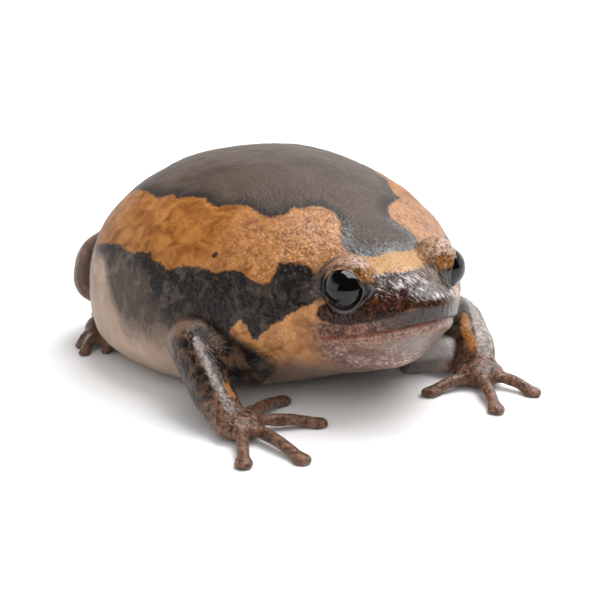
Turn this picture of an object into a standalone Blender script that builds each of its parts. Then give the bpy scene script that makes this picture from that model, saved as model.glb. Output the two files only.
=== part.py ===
"""Asian painted bullfrog at life size, sitting on its belly with its head raised.

The frog faces -Y, its left side is +X and the floor is z = 0. Head and torso are
one lofted form that is fused with lips, brows and lids; each limb is a set of
swept forms fused in the same way. Thin cuts at the neck and at the joints of the
limbs then part them into the pieces that a person would name.
"""

import math

import bmesh
import bpy
import numpy as np
from mathutils import Matrix, Vector

MM = 0.001

# Driving sizes of the animal
SNOUT_VENT = 68 * MM
BODY_WIDTH = 50 * MM
BODY_HEIGHT = 30 * MM
EYE_RADIUS = 2.8 * MM
FINGER_WIDTH = 1.7 * MM
FINGER_PAD_WIDTH = 2.6 * MM
TOE_WIDTH = 1.6 * MM
TOE_PAD_WIDTH = 1.9 * MM

# The gap between neighbours, and the fineness of the fused skin
GAP = 0.3 * MM
VOXEL = 0.32 * MM
SMOOTHING_PASSES = 4
TRUNK_TRIANGLES = 4400
ARM_TRIANGLES = 1250
UPPER_ARM_TRIANGLES = 200
LEG_TRIANGLES = 420
FOOT_TRIANGLES = 900


def place(forward, left, up):
    """A point given in millimetres along the frog's own directions, in the part's frame."""
    return Vector((left, -forward, up)) * MM


def same(point):
    return point.copy()


def mirrored(point):
    """The same point on the frog's other side."""
    return Vector((-point.x, point.y, point.z))


def millimetres(values):
    return [value * MM for value in values]


def between(start, end, share):
    return tuple(a + (b - a) * share for a, b in zip(start, end))


def clear_scene():
    for obj in list(bpy.data.objects):
        bpy.data.objects.remove(obj)


def add_object(name, mesh):
    obj = bpy.data.objects.new(name, mesh)
    bpy.context.scene.collection.objects.link(obj)
    return obj


def mesh_object(name, form):
    """The form as an object of its own."""
    mesh = bpy.data.meshes.new(name)
    form.to_mesh(mesh)
    form.free()
    return add_object(name, mesh)


def curve_through(knots, values, at):
    """A smooth cubic curve through the values, read at other places."""
    knots = np.asarray(knots, float)
    values = np.asarray(values, float)
    slopes = np.gradient(values, knots, axis=0)
    i = np.clip(np.searchsorted(knots, at) - 1, 0, len(knots) - 2)
    width = knots[i + 1] - knots[i]
    t = (at - knots[i]) / width
    if values.ndim > 1:
        t, width = t[:, None], width[:, None]
    return (
        values[i] * (1 + 2 * t) * (1 - t) ** 2
        + values[i + 1] * t**2 * (3 - 2 * t)
        + width * (slopes[i] * t * (1 - t) ** 2 + slopes[i + 1] * t**2 * (t - 1))
    )


def loft(name, rings, first_tip, last_tip):
    """A closed skin over rings of points, with a tip at each end."""
    form = bmesh.new()
    loops = [[form.verts.new(point) for point in ring] for ring in rings]
    for one, two in zip(loops, loops[1:]):
        for j in range(len(one)):
            k = (j + 1) % len(one)
            form.faces.new((one[j], one[k], two[k], two[j]))
    for loop, tip in ((loops[0], first_tip), (loops[-1], last_tip)):
        end = form.verts.new(tip)
        for j in range(len(loop)):
            form.faces.new((loop[j], loop[(j + 1) % len(loop)], end))
    bmesh.ops.recalc_face_normals(form, faces=form.faces)
    return mesh_object(name, form)


def sweep(name, points, half_widths, half_heights, rings=22, spokes=14):
    """A closed, round-ended tube along a smooth curve through the points."""
    points = np.array(points)
    steps = np.linalg.norm(np.diff(points, axis=0), axis=1)
    knots = np.concatenate([[0], np.cumsum(steps)])
    length = knots[-1]
    at = length * (1 - np.cos(np.linspace(0, math.pi, rings + 2))) / 2
    line = curve_through(knots, points, at)
    widths = curve_through(knots, half_widths, at)
    heights = curve_through(knots, half_heights, at)
    reach = np.minimum(at / widths[0], (length - at) / widths[-1])
    rounding = np.sqrt(1 - (1 - np.clip(reach, 0, 1)) ** 2)
    course = np.gradient(line, axis=0)
    turns = np.linspace(0, 2 * math.pi, spokes, endpoint=False)
    loops = []
    for i in range(1, rings + 1):
        ahead = Vector(course[i]).normalized()
        side = ahead.cross(Vector((0, 0, 1)))
        if side.length < 0.2:
            side = ahead.cross(Vector((0, 1, 0)))
        side.normalize()
        above = side.cross(ahead)
        loops.append(
            [
                Vector(line[i])
                + side * (widths[i] * rounding[i] * math.cos(turn))
                + above * (heights[i] * rounding[i] * math.sin(turn))
                for turn in turns
            ]
        )
    return loft(name, loops, line[0], line[-1])


def ball(name, centre, radii, turn=None, segments=32, rings=20):
    """An ellipsoid, turned before it is put in place."""
    form = bmesh.new()
    bmesh.ops.create_uvsphere(form, u_segments=segments, v_segments=rings, radius=1)
    matrix = Matrix.Translation(centre)
    if turn is not None:
        matrix = matrix @ turn
    matrix = matrix @ Matrix.Diagonal((*radii, 1))
    bmesh.ops.transform(form, matrix=matrix, verts=form.verts)
    return mesh_object(name, form)


def facing(direction):
    """A turn that carries +Z to the direction."""
    return direction.to_track_quat("Z", "Y").to_matrix().to_4x4()


# Head and torso, from the vent (-1) to the snout (1), as shares of the driving sizes:
# place, half width, height of the back, of the belly and of the widest line. The last
# two are the squareness of the upper side, which is a wedge on the snout, and of the
# underside, which sags onto the floor under the belly
TRUNK = (
    (-1.000, 0.00, 0.32, 0.32, 0.32, 2.1, 2.1),
    (-0.956, 0.27, 0.46, 0.15, 0.32, 2.1, 2.1),
    (-0.838, 0.56, 0.64, 0.01, 0.33, 2.15, 2.3),
    (-0.647, 0.82, 0.84, -0.04, 0.34, 2.15, 2.8),
    (-0.412, 0.98, 0.96, -0.055, 0.35, 2.15, 3.1),
    (-0.176, 1.00, 0.972, -0.055, 0.36, 2.15, 3.1),
    (0.088, 0.95, 0.932, -0.03, 0.35, 2.15, 3.0),
    (0.309, 0.84, 0.872, 0.035, 0.35, 2.15, 2.9),
    (0.500, 0.655, 0.80, 0.11, 0.385, 2.0, 2.05),
    (0.662, 0.443, 0.725, 0.172, 0.43, 1.75, 1.85),
    (0.794, 0.335, 0.665, 0.236, 0.465, 1.5, 1.53),
    (0.897, 0.222, 0.63, 0.365, 0.51, 1.5, 1.45),
    (0.971, 0.112, 0.60, 0.482, 0.55, 1.7, 1.6),
    (1.000, 0.00, 0.56, 0.56, 0.56, 2.1, 2.1),
)
TRUNK_RINGS = 84
TRUNK_SPOKES = 64


def trunk_shares(turn):
    """The trunk's shares at angles that run from the vent (0) to the snout (pi)."""
    stations = np.array(TRUNK)
    knots = math.pi - np.arccos(stations[:, 0])
    return curve_through(knots, stations[:, 1:], np.asarray(turn, float))


def trunk():
    """Head and torso as one loft."""
    places = np.linspace(0, math.pi, TRUNK_RINGS + 2)[1:-1]
    turns = np.linspace(0, 2 * math.pi, TRUNK_SPOKES, endpoint=False)
    loops = []
    for turn, (width, top, bottom, belt, crown, sag) in zip(places, trunk_shares(places)):
        power = 2 / np.where(np.sin(turns) > 0, crown, sag)
        across = np.sign(np.cos(turns)) * np.abs(np.cos(turns)) ** power
        upward = np.sign(np.sin(turns)) * np.abs(np.sin(turns)) ** power
        reach = np.where(upward > 0, top - belt, belt - bottom)
        x = across * width * BODY_WIDTH / 2
        z = (belt + upward * reach) * BODY_HEIGHT
        y = math.cos(turn) * SNOUT_VENT / 2
        loops.append([Vector((a, y, b)) for a, b in zip(x, z)])
    tips = [
        Vector((0, -end * SNOUT_VENT / 2, share * BODY_HEIGHT))
        for end, share in ((-1, TRUNK[0][2]), (1, TRUNK[-1][2]))
    ]
    return loft("trunk", loops, *tips)


# The eyes bulge from the sides of the head and look outward and forward. The head is
# held a little rolled, so the left eye and its upper lid stand higher
EYE = place(24.5, -7.9, 17.9)
LEFT_EYE_SHIFT = place(0, -0.15, 0.4)
EYE_LOOK = place(0.62, -0.78, -0.06).normalized()
BULGE_OFFSET = place(-0.6, 1.1, 1.7)
BULGE_RADII = (2.4, 2.9, 2.35)
LEFT_BULGE_SHIFT = place(0, 0.1, 0.1)
LID_THICKNESS = 0.42 * MM
LID_RISE = 0.25 * MM
NOSTRIL = place(30.3, -3.1, 17.5)
NOSTRIL_LOOK = place(0.36, -0.57, 0.74).normalized()


def eye_middle(side_of):
    """The middle of one eyeball."""
    middle = side_of(EYE)
    return middle + LEFT_EYE_SHIFT if middle.x > 0 else middle


def brow(side_of):
    """The swelling of the head round one eye, and the bulge of its upper lid."""
    centre = eye_middle(side_of)
    look = side_of(EYE_LOOK)
    mound = ball("mound", centre - look * 1.6 * MM, (3.9 * MM, 3.9 * MM, 2.5 * MM), facing(look))
    top = centre + side_of(BULGE_OFFSET)
    if top.x > 0:
        top += LEFT_BULGE_SHIFT
    return [mound, ball("bulge", top, millimetres(BULGE_RADII))]


def lid_ring(side_of):
    """The rim of the lids, a ring that hugs the eyeball."""
    lean = facing(side_of(EYE_LOOK))
    radius = math.sqrt((EYE_RADIUS + GAP + 0.1 * MM) ** 2 - LID_RISE**2)
    points = []
    for turn in np.linspace(0, 2 * math.pi, 33):
        spot = Vector((radius * math.cos(turn), radius * math.sin(turn), LID_RISE))
        points.append(eye_middle(side_of) + lean @ spot)
    sizes = [LID_THICKNESS] * len(points)
    return sweep("lid", points, sizes, sizes, rings=64, spokes=10)


# The mouth runs from corner to corner round the snout, and rises toward the front
MOUTH_CORNER = (22.8, 11.2)
MOUTH_RISE = 1.5
MOUTH_FRONT = (34.0, 14.8)
LIP_RADIUS = 0.8 * MM
LIP_SPREAD = 0.85 * MM
LIP_SINK = 0.62 * MM
LOWER_LIP_SINK = 0.95 * MM
MOUTH_DEPTH = 0.55 * MM
MOUTH_OPENING = 0.16 * MM


def mouth_height(turn):
    """The height of the mouth at an angle along the trunk."""
    forward = -math.cos(turn) * SNOUT_VENT / 2 / MM
    share = (forward - MOUTH_CORNER[0]) / (MOUTH_FRONT[0] - MOUTH_CORNER[0])
    share = max(0, share) ** MOUTH_RISE
    return (MOUTH_CORNER[1] + (MOUTH_FRONT[1] - MOUTH_CORNER[1]) * share) * MM


def mouth_on(turn):
    """How far the mouth lies below the head's widest line there, and its half width."""
    width, top, bottom, belt, crown, sag = trunk_shares([turn])[0]
    drop = belt - mouth_height(turn) / BODY_HEIGHT
    share, power = (drop / (belt - bottom), sag) if drop > 0 else (drop / (belt - top), crown)
    reach = (1 - min(1, share) ** power) ** (1 / power)
    return share, width * BODY_WIDTH / 2 * reach


def mouth_line(count=24):
    """Points along the mouth on the skin, from the right corner to the left one."""
    first = math.pi - math.acos(MOUTH_CORNER[0] * MM * 2 / SNOUT_VENT)
    low, high = first, math.pi - 0.01
    for _ in range(40):
        middle = (low + high) / 2
        if mouth_on(middle)[0] < 1:
            low = middle
        else:
            high = middle
    one_side = []
    for turn in first + (low - first) * np.sin(np.linspace(0, math.pi / 2, count)):
        y = math.cos(turn) * SNOUT_VENT / 2
        one_side.append(Vector((-mouth_on(turn)[1], y, mouth_height(turn))))
    one_side[-1].x = 0
    return one_side + [mirrored(p) for p in reversed(one_side[:-1])]


def sunk(line, depth):
    """The line moved into the head by a depth, level with the floor."""
    hinge = place(16, 0, 0)
    moved = []
    for point in line:
        inward = hinge - point
        inward.z = 0
        moved.append(point + inward.normalized() * depth)
    return moved


def lips():
    """The upper and the lower lip, as low ridges along the mouth."""
    pieces = []
    line = mouth_line()
    from_corner = [min(i, len(line) - 1 - i) for i in range(len(line))]
    sizes = [LIP_RADIUS * min(1, 0.35 + 0.09 * i) for i in from_corner]
    for name, sink, lift in (
        ("upper_lip", LIP_SINK, LIP_SPREAD),
        ("lower_lip", LOWER_LIP_SINK, -LIP_SPREAD),
    ):
        ridge = [p + Vector((0, 0, lift)) for p in sunk(line, sink)]
        pieces.append(sweep(name, ridge, sizes, sizes, rings=70))
    return pieces


def mouth_cutter():
    """A thin, flat band along the mouth that opens the line between the lips."""
    line = sunk(mouth_line(), -0.2 * MM)
    inner = sunk(line, MOUTH_DEPTH + 0.2 * MM)
    form = bmesh.new()
    rings = []
    for outside, inside in zip(line, inner):
        corners = []
        for point, half in ((outside, MOUTH_OPENING), (inside, MOUTH_OPENING / 2)):
            for lift in (half, -half):
                corners.append(form.verts.new(point + Vector((0, 0, lift))))
        rings.append((corners[0], corners[1], corners[3], corners[2]))
    for one, two in zip(rings, rings[1:]):
        for j in range(4):
            k = (j + 1) % 4
            form.faces.new((one[j], one[k], two[k], two[j]))
    form.faces.new(rings[0])
    form.faces.new(rings[-1])
    bmesh.ops.recalc_face_normals(form, faces=form.faces)
    return mesh_object("mouth_cutter", form)


# The limbs: joints of each limb in the frog's own directions, in millimetres
ARMS = {
    "right": {
        "shoulder": (13.0, -15.5, 6.9),
        "elbow": (9.0, -22.1, 9.6),
        "wrist": (19.3, -23.0, 3.2),
        "palm": (22.0, -22.3, 1.7),
        "knuckles": ((18.4, -17.6), (22.0, -18.4), (24.6, -20.9), (24.2, -23.1)),
        "tips": ((14.3, -10.3), (24.8, -10.8), (34.9, -20.3), (32.1, -27.5)),
    },
    "left": {
        "shoulder": (13.5, 16.0, 6.7),
        "elbow": (10.6, 21.6, 5.3),
        "wrist": (20.4, 17.0, 3.3),
        "palm": (22.5, 15.8, 1.7),
        "knuckles": ((18.6, 14.3), (22.6, 13.0), (25.8, 13.9), (25.0, 17.6)),
        "tips": ((12.2, 10.2), (22.7, 6.2), (33.6, 10.1), (31.0, 19.2)),
    },
}
UPPER_ARM_RADII = (4.4, 3.8, 3.1)
FOREARM_RADII = (3.1, 3.0, 2.55, 1.7)
PALM_RADII = (3.4, 3.3, 1.8)
KNUCKLE_HEIGHT = 1.5
PAD_HEIGHT = 0.5

RIGHT_LEG = {
    "hip": (-27.0, -6.0, 12.5),
    "knee": (-21.0, -20.6, 10.8),
    "ankle": (-31.5, -11.5, 3.6),
    "heel": (-25.5, -18.0, 2.4),
    "knuckles": ((-22.6, -16.4), (-21.6, -17.8), (-21.0, -19.3), (-21.2, -20.8), (-23.0, -21.0)),
    "tips": ((-19.8, -14.9), (-17.4, -17.6), (-16.6, -21.2), (-17.6, -24.6), (-21.0, -23.6)),
}
ARMPIT_FOLD = ((10.5, 10.0, 4.2), (14.0, 13.3, 3.7), (17.8, 16.6, 3.3))
FOLD_RADII = (2.9, 2.6, 1.7)
THIGH_RADII = (6.4, 5.8, 4.7)
SHANK_RADII = (3.9, 3.3, 2.3)
TARSUS_RADII = (2.2, 1.8)


def upper_arm(joints):
    shoulder, elbow = joints["shoulder"], joints["elbow"]
    course = [place(*between(shoulder, elbow, s)) for s in (-0.5, 0.4, 1.3)]
    sizes = millimetres(UPPER_ARM_RADII)
    return sweep("upper_arm", course, sizes, sizes)


def armpit_fold():
    """The loose skin between the chest and the left arm, which the jaw half hides."""
    sizes = millimetres(FOLD_RADII)
    return sweep("fold", [place(*p) for p in ARMPIT_FOLD], sizes, sizes)


def forearm(joints):
    elbow, wrist = joints["elbow"], joints["wrist"]
    course = [between(elbow, wrist, -0.2), between(elbow, wrist, 0.45), wrist, joints["palm"]]
    sizes = millimetres(FOREARM_RADII)
    return sweep("forearm", [place(*p) for p in course], sizes, sizes)


def digit(name, knuckle, tip, width, pad_width):
    """A finger or toe that arches from its knuckle to a flat, square-tipped pad."""
    start = place(*knuckle)
    end = place(*tip, PAD_HEIGHT)
    ahead = end - start
    ahead.z = 0
    ahead.normalize()
    pad_at = end - ahead * pad_width * 0.45
    middle = start.lerp(pad_at, 0.5) + Vector((0, 0, 0.3 * MM))
    half = width / 2
    widths = (half * 1.2, half, half)
    heights = [w * 0.95 for w in widths]
    shaft = sweep(name, (start, middle, pad_at), widths, heights, rings=16)
    turn = ahead.to_track_quat("Y", "Z").to_matrix().to_4x4()
    pad = ball(name + "_pad", pad_at, (pad_width / 2, pad_width * 0.6, width * 0.46), turn)
    return [shaft, pad]


def hand(joints):
    """The palm and four fingers."""
    palm = place(*joints["palm"])
    pieces = [ball("palm", palm, millimetres(PALM_RADII))]
    for knuckle, tip in zip(joints["knuckles"], joints["tips"]):
        start = (*knuckle, KNUCKLE_HEIGHT)
        sizes = millimetres((1.5, 1.1))
        pieces.append(sweep("metacarpal", (palm, place(*start)), sizes, sizes))
        pieces += digit("finger", start, tip, FINGER_WIDTH, FINGER_PAD_WIDTH)
    return pieces


def leg(joints):
    """Thigh and shank, folded against the flank."""
    hip, knee, ankle = (joints[n] for n in ("hip", "knee", "ankle"))
    pieces = []
    for name, places, radii in (
        ("thigh", (hip, between(hip, knee, 0.55), between(hip, knee, 1.12)), THIGH_RADII),
        ("shank", (between(knee, ankle, -0.1), between(knee, ankle, 0.5), ankle), SHANK_RADII),
    ):
        sizes = millimetres(radii)
        pieces.append(sweep(name, [place(*p) for p in places], sizes, sizes))
    return pieces


def foot(joints):
    """The tarsus, the sole and five toes."""
    heel = place(*joints["heel"])
    ankle = place(*joints["ankle"])
    sizes = millimetres(TARSUS_RADII)
    pieces = [sweep("tarsus", (ankle, heel), sizes, sizes)]
    for knuckle, tip in zip(joints["knuckles"], joints["tips"]):
        start = (*knuckle, KNUCKLE_HEIGHT)
        sizes = millimetres((1.5, 1.0))
        pieces.append(sweep("metatarsal", (heel, place(*start)), sizes, sizes))
        pieces += digit("toe", start, tip, TOE_WIDTH, TOE_PAD_WIDTH)
    return pieces


def joined(name, objects):
    """All the meshes in one object, still overlapping."""
    form = bmesh.new()
    for obj in objects:
        form.from_mesh(obj.data)
        bpy.data.objects.remove(obj)
    return mesh_object(name, form)


def apply_modifiers(obj):
    """The object with its modifiers made real."""
    bpy.context.view_layer.update()
    graph = bpy.context.evaluated_depsgraph_get()
    mesh = bpy.data.meshes.new_from_object(obj.evaluated_get(graph))
    obj.modifiers.clear()
    obj.data = mesh
    return obj


def fused(name, objects, triangles):
    """The overlapping forms as one closed, smoothed skin of about this many triangles."""
    obj = joined(name, objects)
    remesh = obj.modifiers.new("fuse", "REMESH")
    remesh.mode = "VOXEL"
    remesh.voxel_size = VOXEL
    smooth = obj.modifiers.new("soften", "SMOOTH")
    smooth.factor = 0.5
    smooth.iterations = SMOOTHING_PASSES
    apply_modifiers(obj)
    thin = obj.modifiers.new("thin", "DECIMATE")
    thin.ratio = triangles / (2 * len(obj.data.polygons))
    return apply_modifiers(obj)


def swollen(name, obj, amount):
    """A copy of the object, grown along its normals."""
    form = bmesh.new()
    form.from_mesh(obj.data)
    form.normal_update()
    grown = [(vert, vert.co + vert.normal * amount) for vert in form.verts]
    for vert, spot in grown:
        vert.co = spot
    return mesh_object(name, form)


def block(name, centre, sizes, turn=None):
    """A box, turned before it is put in place."""
    form = bmesh.new()
    bmesh.ops.create_cube(form, size=1)
    matrix = Matrix.Translation(centre)
    if turn is not None:
        matrix = matrix @ turn
    bmesh.ops.transform(form, matrix=matrix @ Matrix.Diagonal((*sizes, 1)), verts=form.verts)
    return mesh_object(name, form)


def disc(name, centre, normal, radius):
    """A thin round cutter whose thickness is the gap between two pieces."""
    form = bmesh.new()
    bmesh.ops.create_cone(
        form, cap_ends=True, segments=24, radius1=radius, radius2=radius, depth=GAP
    )
    matrix = Matrix.Translation(centre) @ facing(normal)
    bmesh.ops.transform(form, matrix=matrix, verts=form.verts)
    return mesh_object(name, form)


def cut(obj, cutters):
    """Takes the cutters away, one after another, also where a grown one crosses itself."""
    for cutter in cutters:
        cutter.hide_render = True
        cutter.display_type = "WIRE"
        boolean = obj.modifiers.new("cut", "BOOLEAN")
        boolean.operation = "DIFFERENCE"
        boolean.solver = "EXACT"
        boolean.use_self = True
        boolean.object = cutter
        apply_modifiers(obj)
        bpy.data.objects.remove(cutter)
    return obj


def parted(obj, names):
    """The loose pieces of the object, each under the name whose reference point is nearest."""
    form = bmesh.new()
    form.from_mesh(obj.data)
    left = set(form.verts)
    pieces = []
    for seed in form.verts:
        if seed not in left:
            continue
        piece, front = {seed}, [seed]
        while front:
            for edge in front.pop().link_edges:
                for vert in edge.verts:
                    if vert not in piece:
                        piece.add(vert)
                        front.append(vert)
        left -= piece
        pieces.append(piece)
    found = {}
    for piece in pieces:
        middle = sum((vert.co for vert in piece), Vector()) / len(piece)
        name = min(names, key=lambda n: (names[n] - middle).length)
        if name not in found or len(piece) > len(found[name]):
            found[name] = piece
    made = {}
    for name, piece in found.items():
        ids = {vert.index for vert in piece}
        single = form.copy()
        spare = [vert for vert in single.verts if vert.index not in ids]
        bmesh.ops.delete(single, geom=spare, context="VERTS")
        made[name] = mesh_object(name, single)
    form.free()
    bpy.data.objects.remove(obj)
    return made


NECK = place(17.6, 0, 12)
NECK_LEAN = place(1, 0, 0.12).normalized()
FLOOR_DEPTH = 12 * MM
SKINS = {
    "head": ((0.20, 0.115, 0.065), 0.42),
    "torso": ((0.16, 0.105, 0.070), 0.50),
    "upper_arm": ((0.10, 0.065, 0.045), 0.45),
    "forearm": ((0.11, 0.075, 0.052), 0.40),
    "hand": ((0.15, 0.080, 0.055), 0.35),
    "thigh": ((0.09, 0.058, 0.042), 0.50),
    "shank": ((0.08, 0.052, 0.038), 0.50),
    "foot": ((0.09, 0.056, 0.040), 0.48),
    "eye": ((0.006, 0.006, 0.007), 0.04),
}


def floor_cutter():
    return block("floor", Vector((0, 0, -FLOOR_DEPTH / 2)), (0.2, 0.2, FLOOR_DEPTH))


def make_trunk():
    """Head and torso with sockets, mouth and nostrils, and the form that carves the limbs."""
    forms = [trunk(), armpit_fold(), *lips()]
    for side_of in (same, mirrored):
        forms += [*brow(side_of), lid_ring(side_of)]
    body = fused("body", forms, TRUNK_TRIANGLES)
    carver = swollen("carver", body, GAP)
    cutters = [mouth_cutter(), floor_cutter()]
    for side_of in (same, mirrored):
        socket = (EYE_RADIUS + GAP,) * 3
        cutters.append(ball("socket", eye_middle(side_of), socket, segments=24, rings=16))
        sizes = (0.38 * MM, 0.55 * MM, 0.8 * MM)
        lean = facing(side_of(NOSTRIL_LOOK))
        cutters.append(ball("pit", side_of(NOSTRIL), sizes, lean, 12, 8))
    cutters.append(block("neck", NECK, (0.08, 0.08, GAP), facing(NECK_LEAN)))
    cut(body, cutters)
    return parted(body, {"head": place(26, 0, 15), "torso": place(-6, 0, 15)}), carver


def joint_plane(before, at, after):
    """The direction across a joint, halfway between the two bones that meet there."""
    one = (place(*at) - place(*before)).normalized()
    two = (place(*after) - place(*at)).normalized()
    return (one + two).normalized()


def make_arm(side, carver):
    joints = ARMS[side]
    lower = fused("lower_" + side, [forearm(joints), *hand(joints)], ARM_TRIANGLES)
    upper = fused("upper_" + side, [upper_arm(joints)], UPPER_ARM_TRIANGLES)
    shoulder, elbow, wrist = (joints[n] for n in ("shoulder", "elbow", "wrist"))
    course = (place(*wrist) - place(*elbow)).normalized()
    cut(upper, [swollen("carve", carver, 0), swollen("bend", lower, GAP), floor_cutter()])
    wrist_disc = disc("wrist", place(*between(elbow, wrist, 0.95)), course, 2.8 * MM)
    cut(lower, [swollen("carve", carver, 0), floor_cutter(), wrist_disc])
    spots = {
        "forearm_" + side: place(*between(elbow, wrist, 0.5)),
        "hand_" + side: place(*between(wrist, (*joints["tips"][2], 0), 0.45)),
    }
    root = {"upper_arm_" + side: place(*between(shoulder, elbow, 0.5))}
    return parted(lower, spots) | parted(upper, root)


def make_leg(side, carver):
    joints = RIGHT_LEG
    side_of = same if side == "right" else mirrored
    hip, knee, ankle, heel = (joints[n] for n in ("hip", "knee", "ankle", "heel"))
    upper = fused("leg_" + side, leg(joints), LEG_TRIANGLES)
    lower = fused("foot_" + side, foot(joints), FOOT_TRIANGLES)
    if side == "left":
        for body in (upper, lower):
            body.data.transform(Matrix.Diagonal((-1, 1, 1, 1)))
            body.data.flip_normals()
    cut(lower, [swollen("carve", carver, 0), swollen("shin", upper, GAP), floor_cutter()])
    bend = side_of(joint_plane(hip, knee, ankle))
    knee_disc = disc("knee", side_of(place(*knee)), bend, 14 * MM)
    cut(upper, [swollen("carve", carver, 0), floor_cutter(), knee_disc])
    spots = {
        "thigh_" + side: side_of(place(*between(hip, knee, 0.8))),
        "shank_" + side: side_of(place(*between(knee, ankle, 0.5))),
    }
    sole = {"foot_" + side: side_of(place(*between(heel, (*joints["tips"][3], 0), 0.4)))}
    return parted(upper, spots) | parted(lower, sole)


def painted(name, obj):
    """Gives the piece a skin of its own and smooth shading with crisp cuts."""
    colour, roughness = next(v for k, v in SKINS.items() if name.startswith(k))
    material = bpy.data.materials.new(name + "_skin")
    material.use_nodes = True
    shader = material.node_tree.nodes["Principled BSDF"]
    shader.inputs["Base Color"].default_value = (*colour, 1)
    shader.inputs["Roughness"].default_value = roughness
    shader.inputs["Metallic"].default_value = 0
    obj.data.materials.clear()
    obj.data.materials.append(material)
    obj.data.shade_smooth()
    obj.data.set_sharp_from_angle(angle=math.radians(50))
    obj.name = name


def settled(nodes):
    """Moves every piece so that the middle of the animal's outline is at x = y = 0."""
    corners = [vert.co for obj in nodes.values() for vert in obj.data.vertices]
    low = [min(c[i] for c in corners) for i in range(3)]
    high = [max(c[i] for c in corners) for i in range(3)]
    shift = Vector((-(low[0] + high[0]) / 2, -(low[1] + high[1]) / 2, 0))
    for obj in nodes.values():
        obj.data.transform(Matrix.Translation(shift))


def main():
    clear_scene()
    nodes, carver = make_trunk()
    for side in ("right", "left"):
        nodes |= make_arm(side, carver)
        nodes |= make_leg(side, carver)
    bpy.data.objects.remove(carver)
    for side, side_of in (("right", same), ("left", mirrored)):
        name = "eye_" + side
        nodes[name] = ball(name, eye_middle(side_of), (EYE_RADIUS,) * 3, segments=24, rings=14)
    for name, obj in nodes.items():
        painted(name, obj)
    settled(nodes)


main()
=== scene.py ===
"""Asian painted bullfrog at life size: a wet painted hide with eyelids, and black eyes."""

import math

import bmesh
import bpy
import numpy as np
from mathutils import Matrix, Vector, noise
from mathutils.bvhtree import BVHTree


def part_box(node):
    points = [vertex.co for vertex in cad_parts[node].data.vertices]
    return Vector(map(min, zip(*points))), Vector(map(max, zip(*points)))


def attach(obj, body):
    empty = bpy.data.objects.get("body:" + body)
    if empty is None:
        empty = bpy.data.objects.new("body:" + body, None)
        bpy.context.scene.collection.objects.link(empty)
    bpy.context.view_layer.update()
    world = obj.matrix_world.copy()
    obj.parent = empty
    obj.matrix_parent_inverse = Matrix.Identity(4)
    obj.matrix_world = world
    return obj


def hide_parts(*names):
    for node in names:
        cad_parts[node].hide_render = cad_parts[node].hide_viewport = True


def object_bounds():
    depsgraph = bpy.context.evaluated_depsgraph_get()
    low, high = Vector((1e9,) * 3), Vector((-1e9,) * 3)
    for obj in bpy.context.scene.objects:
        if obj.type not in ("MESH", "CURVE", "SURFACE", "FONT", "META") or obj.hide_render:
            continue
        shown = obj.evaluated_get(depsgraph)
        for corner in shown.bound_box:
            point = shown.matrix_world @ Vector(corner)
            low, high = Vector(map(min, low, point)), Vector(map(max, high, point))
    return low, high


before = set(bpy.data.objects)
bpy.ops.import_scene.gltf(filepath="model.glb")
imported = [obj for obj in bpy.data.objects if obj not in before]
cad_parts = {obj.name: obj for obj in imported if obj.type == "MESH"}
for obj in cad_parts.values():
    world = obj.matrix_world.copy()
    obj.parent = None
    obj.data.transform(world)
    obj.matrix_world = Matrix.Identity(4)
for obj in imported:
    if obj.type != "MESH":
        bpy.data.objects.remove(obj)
cad_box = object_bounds()

# The frog's own directions. The solids face -Y, and the right eyeball gives the midline
# and the place along the body from which every part of the animal is measured
MM = 0.001
EYE_FORWARD = 24.5
EYE_SIDE = 7.9
EYE_HEIGHT = 17.9
EYE_RADIUS = 2.8
eye_middles = {side: sum(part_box("eye_" + side), Vector()) / 2 for side in ("right", "left")}
origin = eye_middles["right"] + Vector((EYE_SIDE, EYE_FORWARD, -EYE_HEIGHT)) * MM


def to_frog(points):
    """World points as forward, left and up in millimetres."""
    moved = (np.asarray(points, float) - np.array(origin)) / MM
    return np.column_stack([-moved[:, 1], moved[:, 0], moved[:, 2]])


def to_world(points):
    """Forward, left and up in millimetres as world points."""
    points = np.atleast_2d(np.asarray(points, float))
    return np.column_stack([points[:, 1], -points[:, 0], points[:, 2]]) * MM + np.array(origin)


def blend(low, high, values):
    """A smooth step from 0 at low to 1 at high."""
    share = np.clip((values - low) / (high - low), 0, 1)
    return share * share * (3 - 2 * share)


def hump(values, width):
    """A bell that is 1 at zero and dies away over the width."""
    return np.exp(-((values / width) ** 2))


# The hide. One thin moist skin wraps head, trunk and limbs with no seam. The solids of
# flesh are swollen by half the gap between them, fused and relaxed, and the mesh is made
# finer on the head, hands and feet, and finest at the mouth and the nostrils
SWELLING = 0.2 * MM
HIDE_VOXEL = 0.52 * MM
FLESH = sorted(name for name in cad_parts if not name.startswith("eye_"))
MOUTH_CORNER = (22.8, 11.2)
MOUTH_FRONT = (34.0, 14.8)
MOUTH_CURVE = 1.5
NOSTRIL = np.array((30.3, 3.1, 17.5))
HEAD_REAR = 17.0
HEAD_HALF_WIDTH = 15.0
HEAD_FOOT = 4.0
LIPS_REAR = 21.5
LIPS_HALF_WIDTH = 13.0
LIPS_HALF_HEIGHT = 0.9
NOSTRIL_REACH = 1.3


def swollen(name):
    """A welded copy of one solid, grown along its normals."""
    form = bmesh.new()
    form.from_mesh(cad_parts[name].data)
    bmesh.ops.remove_doubles(form, verts=form.verts, dist=0.001 * MM)
    form.normal_update()
    grown = [(vert, vert.co + vert.normal * SWELLING) for vert in form.verts]
    for vert, spot in grown:
        vert.co = spot
    return form


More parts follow.
